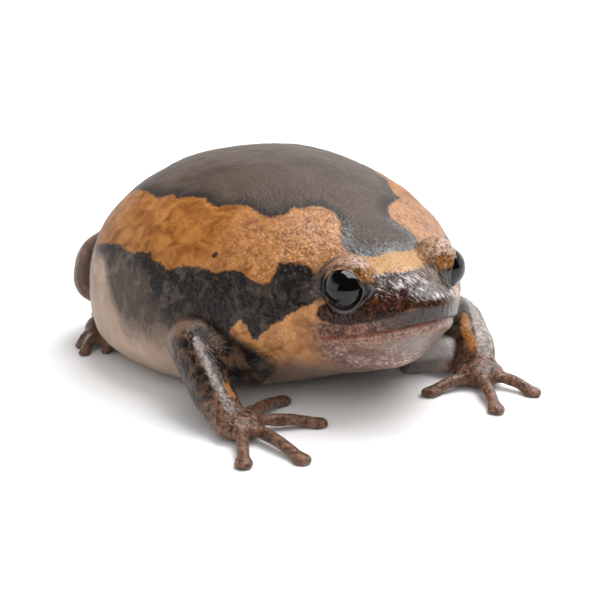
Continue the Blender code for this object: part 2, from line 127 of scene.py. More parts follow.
def fused(voxel):
    """All the flesh as one voxel mesh."""
    whole = bmesh.new()
    for name in FLESH:
        mesh = bpy.data.meshes.new("flesh")
        form = swollen(name)
        form.to_mesh(mesh)
        form.free()
        whole.from_mesh(mesh)
        bpy.data.meshes.remove(mesh)
    mesh = bpy.data.meshes.new("flesh")
    whole.to_mesh(mesh)
    whole.free()
    obj = bpy.data.objects.new("flesh", mesh)
    bpy.context.scene.collection.objects.link(obj)
    remesh = obj.modifiers.new("fuse", "REMESH")
    remesh.mode = "VOXEL"
    remesh.voxel_size = voxel
    graph = bpy.context.evaluated_depsgraph_get()
    made = bpy.data.meshes.new_from_object(obj.evaluated_get(graph))
    bpy.data.objects.remove(obj)
    return made


def mesh_points(mesh):
    """The places of a mesh's points, one row each."""
    flat = np.empty(len(mesh.vertices) * 3)
    mesh.vertices.foreach_get("co", flat)
    return flat.reshape(-1, 3)


def mesh_normals(mesh):
    """The outward directions at a mesh's points, one row each."""
    flat = np.empty(len(mesh.vertices) * 3)
    mesh.vertices.foreach_get("normal", flat)
    return flat.reshape(-1, 3)


def set_points(mesh, points):
    """Moves a mesh's points to these places."""
    mesh.vertices.foreach_set("co", np.ascontiguousarray(points, np.float32).ravel())
    mesh.update()


def refined(mesh, chosen):
    """Cuts in half every edge of a mesh that joins two chosen points."""
    form = bmesh.new()
    form.from_mesh(mesh)
    edges = [e for e in form.edges if chosen[e.verts[0].index] and chosen[e.verts[1].index]]
    bmesh.ops.subdivide_edges(form, edges=edges, cuts=1, use_grid_fill=True)
    wide = [face for face in form.faces if len(face.verts) > 4]
    bmesh.ops.triangulate(form, faces=wide)
    form.to_mesh(mesh)
    form.free()


def averaged(mesh, values, passes):
    """Values on the mesh, each drawn toward the mean of its neighbours' again and again."""
    flat = np.empty(len(mesh.edges) * 2, np.int64)
    mesh.edges.foreach_get("vertices", flat)
    one, two = flat[0::2], flat[1::2]
    count = np.bincount(flat, minlength=len(values))[:, None]
    for _ in range(passes):
        total = np.column_stack(
            [
                np.bincount(one, column[two], len(values))
                + np.bincount(two, column[one], len(values))
                for column in values.T
            ]
        )
        values = (values + total / count) / 2
    return values


def relax(mesh, passes):
    """Smooths the steps that voxels and cuts leave."""
    set_points(mesh, averaged(mesh, mesh_points(mesh), passes))


def surface_tree(names):
    """The solids' surface, for finding what lies nearest to a point."""
    corners = []
    faces = []
    for name in names:
        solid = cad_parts[name].data
        first = len(corners)
        corners += [vert.co for vert in solid.vertices]
        faces += [[first + index for index in face.vertices] for face in solid.polygons]
    return BVHTree.FromPolygons(corners, faces)


flesh_trees = {name: surface_tree([name]) for name in FLESH}
flesh_tree = surface_tree(FLESH)


def drawn_back(mesh):
    """How far each point goes along its normal to lie on the solids again, in millimetres."""
    found = np.full((len(mesh.vertices), 1), -SWELLING / MM)
    for vert in mesh.vertices:
        spot, way, _, _ = flesh_tree.find_nearest(vert.co, 1.5 * MM)
        if spot is not None and way.dot(vert.normal) > 0.6:
            found[vert.index] = (spot - vert.co).dot(vert.normal) / MM
    return averaged(mesh, np.clip(found, -0.6, 0.5), 12)[:, 0]


def distance_to(points, names, reach):
    """How far each world point is from the named solids, in millimetres, up to a reach."""
    found = np.full(len(points), reach, float)
    for index, point in enumerate(points):
        spot = Vector(point)
        for name in names:
            near = flesh_trees[name].find_nearest(spot, found[index] * MM)
            if near[3] is not None:
                found[index] = min(found[index], near[3] / MM)
    return found


def named(*starts):
    """The solids of flesh whose names start in one of these ways."""
    return [name for name in FLESH if name.startswith(starts)]


def mouth_height(forward):
    """The height of the line of the mouth at a place along the head."""
    share = (forward - MOUTH_CORNER[0]) / (MOUTH_FRONT[0] - MOUTH_CORNER[0])
    share = np.clip(share, 0, 1) ** MOUTH_CURVE
    return MOUTH_CORNER[1] + (MOUTH_FRONT[1] - MOUTH_CORNER[1]) * share


eye_spots = {side: to_frog([middle])[0] for side, middle in eye_middles.items()}


def eye_gap(spots):
    """The distance to the middle of the nearer eyeball."""
    gaps = [np.linalg.norm(spots - middle, axis=1) for middle in eye_spots.values()]
    return np.minimum(*gaps)


def nostril_gap(spots):
    """The distance to the middle of the nearer nostril."""
    mirrored = spots.copy()
    mirrored[:, 1] = np.abs(mirrored[:, 1])
    return np.linalg.norm(mirrored - NOSTRIL, axis=1)


hide = fused(HIDE_VOXEL)
relax(hide, 6)
places = mesh_points(hide)
spots = to_frog(places)
digits = distance_to(places, named("hand_", "foot_"), 0.5) < 0.5
on_head = (spots[:, 0] > HEAD_REAR) & (spots[:, 2] > HEAD_FOOT)
on_head &= np.abs(spots[:, 1]) < HEAD_HALF_WIDTH
refined(hide, on_head | digits)
relax(hide, 4)
spots = to_frog(mesh_points(hide))
at_mouth = np.abs(spots[:, 2] - mouth_height(spots[:, 0])) < LIPS_HALF_HEIGHT
at_mouth &= (spots[:, 0] > LIPS_REAR) & (np.abs(spots[:, 1]) < LIPS_HALF_WIDTH)
refined(hide, at_mouth | (nostril_gap(spots) < NOSTRIL_REACH))
relax(hide, 3)

# Mouth, nostrils and folds. The skin is drawn back to the solids' own surface, and what
# the fusing closed is pressed in again: the crease of the mouth between its lips, the
# nostrils, and the folds where limbs meet the trunk. Low swellings loosen the flanks
CREASE_DEPTH = 0.24
UPPER_LIP = 0.13
LOWER_LIP = 0.08
NOSTRIL_DEPTH = 1.0
NOSTRIL_RIM = 0.14
FOLD_DEPTH = 0.5
SWELL_HEIGHT = 0.16
KNOB_HEIGHT = 0.07
places = mesh_points(hide)
normals = mesh_normals(hide)
spots = to_frog(places)
limb_gap = distance_to(places, named("upper_arm", "forearm", "thigh", "shank"), 1.5)
trunk_gap = distance_to(places, named("torso", "head"), 1.5)
fold = hump(limb_gap, 0.7) * hump(trunk_gap, 0.7)
below = spots[:, 2] - mouth_height(spots[:, 0])
mouth_end = blend(22.2, 24.2, spots[:, 0]) * blend(15, 13, np.abs(spots[:, 1]))
lift = drawn_back(hide)
lift -= CREASE_DEPTH * hump(below, 0.15) * mouth_end
lift += UPPER_LIP * hump(below - 0.5, 0.32) * mouth_end
lift += LOWER_LIP * hump(below + 0.6, 0.35) * mouth_end
gap = nostril_gap(spots)
lift += NOSTRIL_RIM * hump(gap - 0.9, 0.28) - NOSTRIL_DEPTH * hump(gap, 0.5)
lift -= FOLD_DEPTH * fold
swell = np.array([noise.noise(Vector(spot) * 0.22) for spot in spots])
knobs = np.array([noise.noise(Vector(spot) * 0.75) for spot in spots])
calm = blend(2.0, 5.0, spots[:, 2]) * blend(3.2, 5.5, eye_gap(spots))
lift += (SWELL_HEIGHT * swell + KNOB_HEIGHT * knobs) * calm * (limb_gap > 1.4)
places = places + normals * (lift * MM)[:, None]
places = np.clip(places, np.array(cad_box[0]), np.array(cad_box[1]) - 0.02 * MM)
set_points(hide, places)

# Eyelids. A moist, dark ring of skin hugs each eyeball, with a groove inside its outer
# ridge, and runs out to a point at the front corner of the eye. It lies on the hide
EYE_LOOKS = {"right": (0.62, -0.78, -0.06), "left": (0.60, 0.76, -0.26)}
EYE_CORNERS = {"right": (0.78, 0.62, -0.02), "left": (0.78, -0.62, -0.02)}
LID_TURNS = 144
LID_INNER = 2.62
LID_OUTER = 3.14
LID_TOP_OPENS = 0.06
LID_FOOT_CLOSES = 0.2
CORNER_REACH = 0.75
CORNER_SPREAD = 0.28
LID_PROFILE = (
    (0.0, -0.30), (0.0, 0.02), (0.10, 0.12), (0.22, 0.15), (0.36, 0.08), (0.50, 0.05),
    (0.66, 0.11), (0.82, 0.08), (1.0, -0.03), (1.04, -0.45), (0.80, -0.60), (0.20, -0.60),
)
hide_tree = BVHTree.FromPolygons(
    [Vector(spot) for spot in mesh_points(hide)], [tuple(face.vertices) for face in hide.polygons]
)


def hide_height(middle, ahead, look, radius):
    """How far the hide stands above an eye's middle, along its look, at a radius."""
    start = Vector(to_world(middle + ahead * radius + look * 4.0)[0])
    way = Vector(to_world(middle + ahead * radius)[0]) - start
    hit = hide_tree.ray_cast(start, way.normalized(), 6 * MM)
    return 4.0 - hit[3] / MM if hit[0] else -1.0


def eyelid(side):
    """The ring of one eye's lids, as a closed band round the eyeball."""
    look = Vector(EYE_LOOKS[side]).normalized()
    corner = Vector(EYE_CORNERS[side])
    corner = (corner - look * corner.dot(look)).normalized()
    across = look.cross(corner)
    middle = Vector(eye_spots[side])
    rings = []
    form = bmesh.new()
    for turn in np.linspace(0, 2 * math.pi, LID_TURNS, endpoint=False):
        ahead = corner * math.cos(turn) + across * math.sin(turn)
        from_corner = min(turn, 2 * math.pi - turn)
        point = math.exp(-((from_corner / CORNER_SPREAD) ** 2))
        inner = LID_INNER + LID_TOP_OPENS * max(0, ahead.z) - LID_FOOT_CLOSES * max(0, -ahead.z)
        outer = LID_OUTER + CORNER_REACH * point
        ball = math.sqrt((EYE_RADIUS - 0.01) ** 2 - inner**2)
        ring = []
        for share, lift in LID_PROFILE:
            radius = inner + (outer - inner) * share
            ground = hide_height(middle, ahead, look, max(radius, LID_OUTER - 0.1))
            settle = min(1, share * (outer - inner) / 0.5)
            height = ball + (ground - ball) * settle + lift
            spot = middle + ahead * radius + look * height
            ring.append(form.verts.new(to_world(spot)[0]))
        rings.append(ring)
    for index, ring in enumerate(rings):
        after = rings[(index + 1) % LID_TURNS]
        for j in range(len(ring)):
            k = (j + 1) % len(ring)
            form.faces.new((ring[j], ring[k], after[k], after[j]))
    for _ in range(3):
        bmesh.ops.smooth_vert(form, verts=form.verts, factor=0.3)
    bmesh.ops.recalc_face_normals(form, faces=form.faces)
    return form


skin_form = bmesh.new()
skin_form.from_mesh(hide)
hide_count = len(skin_form.verts)
for eye_side in ("right", "left"):
    lid_mesh = bpy.data.meshes.new("lid")
    lid = eyelid(eye_side)
    lid.to_mesh(lid_mesh)
    lid.free()
    skin_form.from_mesh(lid_mesh)
    bpy.data.meshes.remove(lid_mesh)
skin_mesh = bpy.data.meshes.new("skin")
skin_form.to_mesh(skin_mesh)
skin_form.free()
skin_mesh.shade_smooth()

# The markings. Signed distances to the edges of the painted areas are stored on the skin
# in millimetres, so that the dyes can break up along them: the dark back seen from above,
# and the black band of the flank by its bearing from the midline and its height
BACK_FOOT = 10.0
BACK_RIGHT = (
    (-30.0, -7.5), (-24.0, -13.0), (-17.0, -17.0), (-9.6, -17.3), (-6.6, -17.4), (-5.3, -16.2),
    (-3.5, -16.4), (-1.3, -14.9), (0.3, -14.1), (2.4, -14.3), (3.8, -13.6), (5.4, -11.8),
    (6.4, -11.1), (8.0, -10.9), (9.8, -10.8), (11.0, -9.8), (11.5, -8.4), (10.8, -6.8),
    (11.7, -6.0), (11.6, -4.6), (12.1, -3.5), (14.2, -2.7), (16.0, -3.0), (17.8, -4.0),
    (19.6, -5.1), (21.2, -5.1), (22.6, -3.9), (23.6, -2.2), (23.4, -1.5), (23.7, -0.4),
)
BACK_LEFT = (
    (23.6, 1.1), (23.3, 3.0), (22.9, 4.6), (21.4, 6.1), (19.6, 6.7), (17.8, 5.5), (16.4, 4.9),
    (15.0, 5.3), (13.6, 6.4), (12.3, 8.0), (10.6, 10.9), (9.4, 10.4), (7.4, 11.2), (5.6, 12.2),
    (3.2, 13.6), (0.8, 13.2), (-1.4, 14.8), (-3.6, 15.6), (-5.4, 15.2), (-7.2, 16.9),
    (-11.0, 16.6), (-17.0, 17.2), (-24.0, 13.0), (-30.0, 7.5),
)
BAND_TOP = (
    (150, 12.0), (136, 15.0), (122, 17.0), (115, 18.2), (109, 18.5), (101, 18.1), (96, 18.7),
    (92, 19.0), (87, 18.1), (80, 17.6), (75, 18.2), (69, 18.5), (61, 18.3), (55, 18.7),
    (50.3, 18.8), (48.2, 18.1), (45.5, 17.6), (42.6, 17.5), (40.3, 17.8), (38.6, 19.4),
    (37.6, 20.0), (31.3, 20.2), (28.0, 20.0), (25.6, 19.4), (24.4, 18.6),
)
BAND_FOOT = (
    (24.6, 16.2), (27.6, 15.5), (31.7, 14.7), (36.6, 13.3), (39.6, 12.4), (42.1, 11.5),
    (44.6, 10.4), (46.2, 10.8), (47.4, 12.2), (49.6, 13.0), (51.6, 12.4), (53.2, 11.2),
    (56.0, 9.0), (75, 9.0), (100, 9.0), (125, 8.0), (150, 8.0),
)
BEARING_RADIUS = 22.0
CHEEK = (
    (22.4, 14.1), (22.4, 15.3), (23.4, 16.4), (24.6, 17.2), (26.8, 18.6), (27.5, 19.3),
    (28.4, 19.8), (34.6, 19.0), (34.4, 16.6), (33.1, 16.5), (32.3, 16.3), (31.6, 15.6),
    (30.6, 15.0), (29.4, 14.6), (27.9, 14.0), (26.3, 13.6), (24.5, 13.5), (23.2, 13.6),
)
SNOUT = (
    (27.6, -1.0), (27.6, 0.3), (27.1, 1.4), (26.3, 2.6), (25.7, 3.6), (26.2, 4.5), (27.0, 5.0),
    (28.2, 4.4), (29.2, 3.9), (30.2, 3.5), (31.2, 3.1), (32.2, 2.7), (33.0, 2.0), (33.5, 0.8),
    (33.6, -1.0),
)
RIGHT_STRIPE = (
    (13.0, -23.0, 10.5), (14.4, -23.3, 9.6), (16.5, -23.5, 8.2), (18.5, -23.7, 6.9),
    (20.4, -23.6, 5.4), (21.9, -23.4, 3.8),
)
LEFT_STRIPE = ((13.5, 21.4, 8.8), (16.5, 20.2, 7.0), (20.4, 18.2, 6.1), (22.3, 16.9, 4.7))
RIGHT_PATCH = ((19.4, -22.4, 6.1), (20.5, -22.1, 5.1))
LEFT_PATCH = ((16.6, 17.6, 7.6), (18.4, 16.6, 6.3), (21.0, 15.6, 5.2))
BLACK_SPOT = (9.1, -17.9, 20.2)
ARMPIT = (14.4, -19.2, 9.9)


def outline_distance(points, outline):
    """How far each flat point lies inside a closed outline, negative outside."""
    corners = np.array(outline, float)
    nearest = np.full(len(points), 1e9)
    inside = np.zeros(len(points), bool)
    for start, end in zip(corners, np.roll(corners, -1, axis=0)):
        along = end - start
        share = np.clip((points - start) @ along / (along @ along), 0, 1)
        gap = points - start - share[:, None] * along
        nearest = np.minimum(nearest, np.hypot(gap[:, 0], gap[:, 1]))
        rises = (start[1] > points[:, 1]) != (end[1] > points[:, 1])
        run = along[0] / along[1] if along[1] else 0
        inside ^= rises & (points[:, 0] < start[0] + run * (points[:, 1] - start[1]))
    return np.where(inside, nearest, -nearest)


def store(name, values):
    """Puts one value for each point on the skin, for the dyes to read."""
    layer = skin_mesh.attributes.new(name, "FLOAT", "POINT")
    layer.data.foreach_set("value", np.ascontiguousarray(values, np.float32))


def line_gap(points, line):
    """How far each point is from a line through a few places."""
    nearest = np.full(len(points), 1e9)
    for start, end in zip(np.array(line[:-1], float), np.array(line[1:], float)):
        along = end - start
        share = np.clip((points - start) @ along / (along @ along), 0, 1)
        gap = points - start - share[:, None] * along
        nearest = np.minimum(nearest, np.linalg.norm(gap, axis=1))
    return nearest


MARK_REACH = 2.5
skin_places = mesh_points(skin_mesh)
spots = to_frog(skin_places)
forward, left, up = spots.T
side = np.abs(left)
bearing = np.degrees(np.arctan2(side, forward))
arm_gap = distance_to(skin_places, named("upper_arm", "forearm"), MARK_REACH)
hand_gap = distance_to(skin_places, named("hand_"), MARK_REACH)
leg_gap = distance_to(skin_places, named("thigh", "shank", "foot"), MARK_REACH)
trunk_gap = distance_to(skin_places, named("torso", "head"), MARK_REACH)
limb_gap = np.minimum(np.minimum(arm_gap, hand_gap), leg_gap)
above_mouth = up - mouth_height(forward)
from_eye = eye_gap(spots)

back_depth = outline_distance(spots[:, :2], BACK_RIGHT + BACK_LEFT)
back_depth = np.minimum(back_depth, up - BACK_FOOT)
store("back", back_depth)
chart = np.column_stack([np.radians(bearing) * BEARING_RADIUS, up])
band = [(math.radians(turn) * BEARING_RADIUS, height) for turn, height in BAND_TOP + BAND_FOOT]
store("band", outline_distance(chart, band))
store("cheek", outline_distance(np.column_stack([forward, up]), CHEEK))
snout = outline_distance(np.column_stack([forward, side]), SNOUT)
store("snout", np.minimum(snout, up - 17.0))

# A limb's skin is told from the trunk's by which solid lies nearer, and a fold by both being near.
# The right armpit is a hollow of its own. The folds, the crease above each arm, deeper on the
# right, and the armpit hollow are marked for painted shade
store("arm", blend(0.9, -0.1, arm_gap - trunk_gap) * blend(2.4, 1.4, arm_gap))
hand_share = blend(0.9, -0.1, hand_gap - np.minimum(trunk_gap, arm_gap))
store("hand", hand_share * blend(2.4, 1.4, hand_gap))
store("leg", blend(0.9, -0.1, leg_gap - trunk_gap) * blend(2.4, 1.4, leg_gap))
upper = blend(8.0, 10.0, up)
# Painted shade: the crease above each arm, the armpit's hollow and the joints
crease_shade = blend(1.25, 0.3, arm_gap) * blend(0.5, 0.2, trunk_gap) * upper
crease_shade = crease_shade * np.where(left < 0, 1, 0.35)
armpit_shade = hump(np.linalg.norm(spots - ARMPIT, axis=1), 1.1)
joint_shade = hump(limb_gap, 0.75) * hump(trunk_gap, 0.75) * (0.12 + 0.7 * upper)
store("fold", np.maximum.reduce([crease_shade, armpit_shade, joint_shade]))
store("stripe", np.minimum(line_gap(spots, RIGHT_STRIPE), line_gap(spots, LEFT_STRIPE) - 0.7))
store("patch", np.minimum(line_gap(spots, RIGHT_PATCH), line_gap(spots, LEFT_PATCH) - 0.2))
store("spot", np.linalg.norm(spots - BLACK_SPOT, axis=1))
store("side", left)
store("mouth", above_mouth + 50 * (forward < 22.2))
store("jaw", np.where(forward > 19, above_mouth, 50))
store("height", up)
store("forward", forward)

# The lids' colours go by how far across the ring a point lies, with pale lines on the ring's two
# ridges below the eye as painted highlights, and the gloss by where the film of mucus is thick: on
# the lids, the snout, the head and the back's margin
above_eye = blend(0.4, 1.6, up - EYE_HEIGHT)
across_lid = np.full(len(spots), 2.0)
across_lid[hide_count:] = np.tile([share for share, lift in LID_PROFILE], 2 * LID_TURNS)
reach = 0.92 - 0.34 * blend(0.5, 2.4, EYE_HEIGHT - up)
lid_share = blend(reach + 0.1, reach - 0.04, across_lid)
store("lid", lid_share * (1 - above_eye * (across_lid > 0.05)))
# Painted highlights: pale lines along the lid's inner and outer ridges
lid_glint_lines = hump(across_lid - 0.13, 0.08) + hump(across_lid - reach + 0.14, 0.1)
store("line", lid_glint_lines * (1 - above_eye))
store("rim", blend(3.3, 3.1, from_eye) * (1 - above_eye) * blend(0.8, 0.2, EYE_HEIGHT - up))
store("eye", from_eye)
store("nostril", nostril_gap(spots))
in_slate = blend(0.2, -0.2, -back_depth)
slate_wet = 0.06 + 0.6 * blend(2.6, 0.4, back_depth) * blend(14, 20, forward)
snout_wet = 0.3 * blend(-1, 1, above_mouth) + 0.6 * blend(2.6, 4.0, above_mouth)
wet = 0.06 + 0.32 * blend(4, 17, forward)
wet = wet * (1 - in_slate) + in_slate * slate_wet
wet = np.maximum(wet, snout_wet * blend(25.5, 27.5, forward))
wet = np.maximum(wet, 0.75 * blend(4.6, 3.6, from_eye))
wet = np.maximum(wet, 0.22 * blend(1.0, 0.0, arm_gap - trunk_gap))
wet = np.maximum(wet, 0.4 * blend(1.0, 0.0, hand_gap - trunk_gap))
wet = np.maximum(wet, 0.9 * blend(1.5, 1.0, across_lid))
store("wet", wet)
store("rough", 0.4 + 0.6 * blend(-6, 14, forward))


# The dyes of the hide: wet amphibian skin, warm orange bands between a grey-brown back and
# near-black flanks, freckled where they meet, and paler toward the belly. Some highlights and
# shades are painted in among them too, each said where it is laid. Its mucus film is a clear coat
# whose gloss breaks up on granules half a millimetre across
def linear(code):
    """An sRGB hex colour as linear red, green, blue and alpha."""
    parts = [int(code[i : i + 2], 16) / 255 for i in (0, 2, 4)]
    return (*[p / 12.92 if p <= 0.04045 else ((p + 0.055) / 1.055) ** 2.4 for p in parts], 1)


def add(tree, kind, inputs=(), **settings):
    """Adds a node with its settings, and with a value or a link for each named input."""
    made = tree.nodes.new(kind)
    for name, value in settings.items():
        setattr(made, name, value)
    for name, value in dict(inputs).items():
        if isinstance(value, bpy.types.NodeSocket):
            tree.links.new(value, made.inputs[name])
        else:
            made.inputs[name].default_value = value
    return made.outputs


hide_dye = bpy.data.materials.new("wet_frog_skin")
hide_dye.use_nodes = True
tree = hide_dye.node_tree
shader = tree.nodes["Principled BSDF"]
place = add(tree, "ShaderNodeTexCoord")["Object"]


def stored(name):
    """What was stored on the skin under this name."""
    return add(tree, "ShaderNodeAttribute", attribute_name=name)["Fac"]


def math_of(kind, one, two=0.0, three=0.0, clamp=False):
    """One step of arithmetic on shares, distances and noises."""
    values = {0: one, 1: two, 2: three}
    return add(tree, "ShaderNodeMath", values, operation=kind, use_clamp=clamp)[0]


def cloud(size, detail=3.0, rough=0.55, warp=0.0):
    """Noise whose features are about this many millimetres across, from -1 to 1."""
    made = add(
        tree, "ShaderNodeTexNoise",
        {"Vector": place, "Scale": 1 / (size * MM), "Detail": detail, "Roughness": rough,
         "Distortion": warp},
    )["Fac"]
    return math_of("MULTIPLY_ADD", made, 2.0, -1.0)


def streaks(way, squeeze, size):
    """Noise from 0 to 1 whose features are drawn out along one direction."""
    way = Vector(way).normalized()
    along = add(tree, "ShaderNodeVectorMath", {0: place, 1: way}, operation="DOT_PRODUCT")["Value"]
    push = math_of("MULTIPLY", along, squeeze - 1.0)
    moved = add(tree, "ShaderNodeVectorMath", {0: way, "Scale": push}, operation="SCALE")[0]
    drawn = add(tree, "ShaderNodeVectorMath", {0: place, 1: moved}, operation="ADD")[0]
    inputs = {"Vector": drawn, "Scale": 1 / (size * MM), "Detail": 2.0}
    return add(tree, "ShaderNodeTexNoise", inputs)["Fac"]


def noisy(speckles, contrast, middle):
    """A noise as a share from 0 to 1, with this contrast round this middle."""
    return math_of("MULTIPLY_ADD", speckles, contrast, middle, clamp=True)


def slope(value, start, end, clamp=False):
    """0 where a value is at its start and 1 at its end, and on past both unless clamped."""
    rise = 1 / (end - start)
    return math_of("MULTIPLY_ADD", value, rise, -start * rise, clamp=clamp)


def ramp(value, start, end):
    """A share that goes from 0 to 1 between two values."""
    return slope(value, start, end, clamp=True)


def torn(value, start, end, ragged, reach=1.0):
    """A ramp whose edge wanders by a noise."""
    return math_of("MULTIPLY_ADD", ragged, reach, slope(value, start, end), clamp=True)


def edge(distance, width, ragged):
    """1 inside a marking, with an edge of this width that wanders by the ragged noise."""
    moved = math_of("ADD", distance, ragged)
    return ramp(moved, -width / 2, width / 2)


def times(share, *others):
    """Shares multiplied together."""
    for other in others:
        share = math_of("MULTIPLY", share, other)
    return share


def mixed(share, one, two):
    """One colour turned into another by a share."""
    codes = [linear(c) if isinstance(c, str) else c for c in (one, two)]
    return add(tree, "ShaderNodeMix", {0: share, 6: codes[0], 7: codes[1]}, data_type="RGBA")[2]


fine = cloud(0.3, 2.0)
grain = cloud(0.75, 3.0, 0.6, 0.4)
blotch = cloud(2.2, 3.0, 0.6, 0.8)
patchy = cloud(6.0, 2.0, 0.5, 0.5)
speckle = math_of("MULTIPLY_ADD", grain, 0.7, times(fine, 0.6))
ragged = math_of("MULTIPLY_ADD", grain, 0.55, times(blotch, 0.5))
high = stored("height")
onward = stored("forward")
aside = stored("side")

# Orange of the bands: deep toward the rear, freckled with brown and cream before the arm,
# brightest on the forehead, and dulled to brown where it ends over the rump
orange = mixed(noisy(blotch, 1.5, 0.5), "703f13", "a26b35")
freckled = ramp(onward, 6.0, 16.0)
orange = mixed(times(freckled, noisy(grain, -2.2, 0.0)), orange, "6d4a2f")
orange = mixed(times(freckled, noisy(speckle, 1.8, 0.2)), orange, "b48a67")
forehead = mixed(noisy(blotch, 1.0, 0.5), "a0763c", "a77f55")
orange = mixed(ramp(onward, 21.0, 25.0), orange, forehead)
orange = mixed(torn(onward, -14.0, -23.0, blotch, 0.6), orange, "5b4a3c")

# Slate of the back, near black along its ragged margin. Over the head it is darker, with small
# grey flecks painted on as the highlights of wet granules
back_edge = stored("back")
slate = mixed(noisy(patchy, 0.9, 0.5), "3f322a", "4e4138")
slate = mixed(noisy(speckle, 0.6, -0.15), slate, "524a46")
slate = mixed(edge(math_of("SUBTRACT", 1.2, back_edge), 1.8, ragged), slate, "25201f")
over_head = edge(math_of("SUBTRACT", 2.6, back_edge), 3.0, ragged)
over_head = times(ramp(onward, 15.0, 18.0), over_head, 0.6)
slate = mixed(over_head, slate, "2a2523")
# Painted highlights: grey flecks where the head's wet granules catch the light
gleam = noisy(cloud(0.45, 2.0, 0.6, 0.6), 6.0, -1.1)
slate = mixed(times(gleam, over_head), slate, "8e8a88")

# The flank's band is black and wrinkled, its wrinkles drawn in paler lines that are painted
# highlights. Toward the rear and below it turns grey-brown, then beige, and the rump's side is a
# pale strip, mottled at its top, that is painted rim light
wrinkles = streaks((-0.3, -0.7, 0.65), 0.35, 0.45)
flank = mixed(noisy(speckle, 0.8, 0.0), "161211", "2f2824")
# Painted highlights: paler lines along the flank's wrinkles
flank = mixed(times(noisy(wrinkles, 4.0, -2.1), 0.32), flank, "584e48")
fade_from = math_of("MULTIPLY_ADD", onward, -0.75, 17.0)
fade_from = math_of("MINIMUM", math_of("MAXIMUM", fade_from, 10.5), 18.0)
faded = torn(math_of("SUBTRACT", fade_from, high), 0.0, 3.0, blotch, 0.22)
flank = mixed(faded, flank, mixed(noisy(blotch, 0.8, 0.4), "392f29", "574940"))
# Painted rim light: a pale strip down the rump's side, joined to the real paleness low on the
# flank
leaning = math_of("MULTIPLY_ADD", high, 0.73, onward)
rim_light = times(ramp(leaning, 2.6, 0.4), ramp(high, 17.0, 15.5), 1.1)
pale_below_and_rim_light = math_of("MAXIMUM", slope(high, 10.5, 5.5), rim_light)
pale_below_and_rim_light = math_of("MULTIPLY_ADD", blotch, 0.45, pale_below_and_rim_light, clamp=True)
beige = mixed(noisy(patchy, 0.9, 0.5), "917a69", "b39d8c")
mottled = times(ramp(high, 9.0, 14.0), noisy(cloud(3.4), 3.0, 0.35), 0.7)
flank = mixed(pale_below_and_rim_light, flank, mixed(mottled, beige, "67574c"))

# Before the arm the orange goes on under the band, and low on the chest it is broken by
# brown blotches and cream granules
chest = mixed(noisy(blotch, 1.6, 0.5), "865832", "bf8755")
chest = mixed(noisy(speckle, 2.2, -0.2), chest, "bd9878")
lowest = mixed(noisy(speckle, 1.0, 0.4), "6a5347", "937767")
chest = mixed(torn(high, 8.4, 5.4, blotch, 0.4), chest, lowest)
below_band = torn(high, 17.0, 16.2, ragged, 1.2)
before_arm = torn(onward, 11.0, 13.0, ragged, 0.6)
colour = mixed(below_band, orange, mixed(before_arm, flank, chest))
colour = mixed(edge(stored("band"), 0.3, ragged), colour, flank)
colour = mixed(edge(back_edge, 0.35, ragged), colour, slate)
colour = mixed(torn(stored("spot"), 0.6, 0.3, ragged), colour, "201812")

# Round the eyes: brown upper lids whose crowns carry pale pinkish flecks, painted highlights of
# the wet skin, a rust patch before the eye and a dark temple behind it
near_eye = torn(stored("eye"), 5.1, 4.3, ragged, 0.8)
brow = mixed(noisy(speckle, 2.6, 0.5), "46291a", "9c7559")
# Painted highlights: pale flecks on the front of each lid's crown
brow_glints = times(ramp(high, 20.0, 20.8), ramp(onward, 24.0, 25.5), noisy(speckle, 2.5, 0.5))
brow = mixed(times(brow_glints, 0.75), brow, "b2978c")
colour = mixed(times(near_eye, ramp(high, 19.0, 19.8), 0.85), colour, brow)
before_eye = times(near_eye, ramp(onward, 25.6, 26.4), ramp(high, 18.2, 18.8))
before_eye = times(before_eye, ramp(high, 20.9, 20.3), 0.9)
colour = mixed(before_eye, colour, mixed(noisy(speckle, 2.0, 0.5), "4c280e", "a2682a"))
temple = times(near_eye, ramp(onward, 23.6, 22.4), ramp(high, 15.4, 16.6))
colour = mixed(temple, colour, mixed(noisy(speckle, 1.6, 0.3), "241d19", "5e5048"))

# The upper lip goes from rosy brown at the corner of the mouth to grey at the muzzle. The lores
# above it are almost black with rust flecks, and the snout's dark skin is streaked with near-white
# painted highlights of its wet ridges
jaw = stored("jaw")
lip = times(torn(jaw, 2.6, 2.0, ragged, 0.8), ramp(onward, 21.4, 23.0))
muzzle = torn(onward, 28.0, 31.5, ragged, 0.5)
rosy = mixed(noisy(speckle, 2.2, 0.4), "3e2822", "916957")
grey = mixed(noisy(speckle, 1.2, 0.5), "2b2523", "4f4744")
colour = mixed(lip, colour, mixed(muzzle, rosy, grey))
cheek_edge = stored("cheek")
lore = mixed(noisy(grain, 2.2, 0.3), "160c08", "4a2713")
lore = mixed(noisy(cloud(0.32, 2.0), 4.0, -1.0), lore, "8c5733")
sooty = times(torn(cheek_edge, 1.4, 0.2, blotch), ramp(high, 16.0, 15.0), 0.5)
lore = mixed(sooty, lore, "120b08")
colour = mixed(edge(cheek_edge, 0.3, times(ragged, 0.6)), colour, lore)
snout_edge = stored("snout")
glints = noisy(streaks((0.12, -1.0, -0.3), 0.2, 0.42), 7.0, -3.6)
far_half = times(ramp(aside, 1.0, 2.6), ramp(high, 17.6, 18.4))
snout_and_glints = mixed(noisy(speckle, 2.0, 0.4), "241914", "4d3e37")
snout_and_glints = mixed(far_half, snout_and_glints, mixed(noisy(speckle, 2.0, 0.5), "33251a", "6c5848"))
shown = math_of("MULTIPLY_ADD", far_half, -0.7, 1.0)
# Painted highlights: near-white streaks on the snout, fainter on its far half
snout_and_glints = mixed(times(glints, shown, 0.9), snout_and_glints, "c2b8b5")
colour = mixed(edge(snout_edge, 0.5, times(ragged, 0.8)), colour, snout_and_glints)

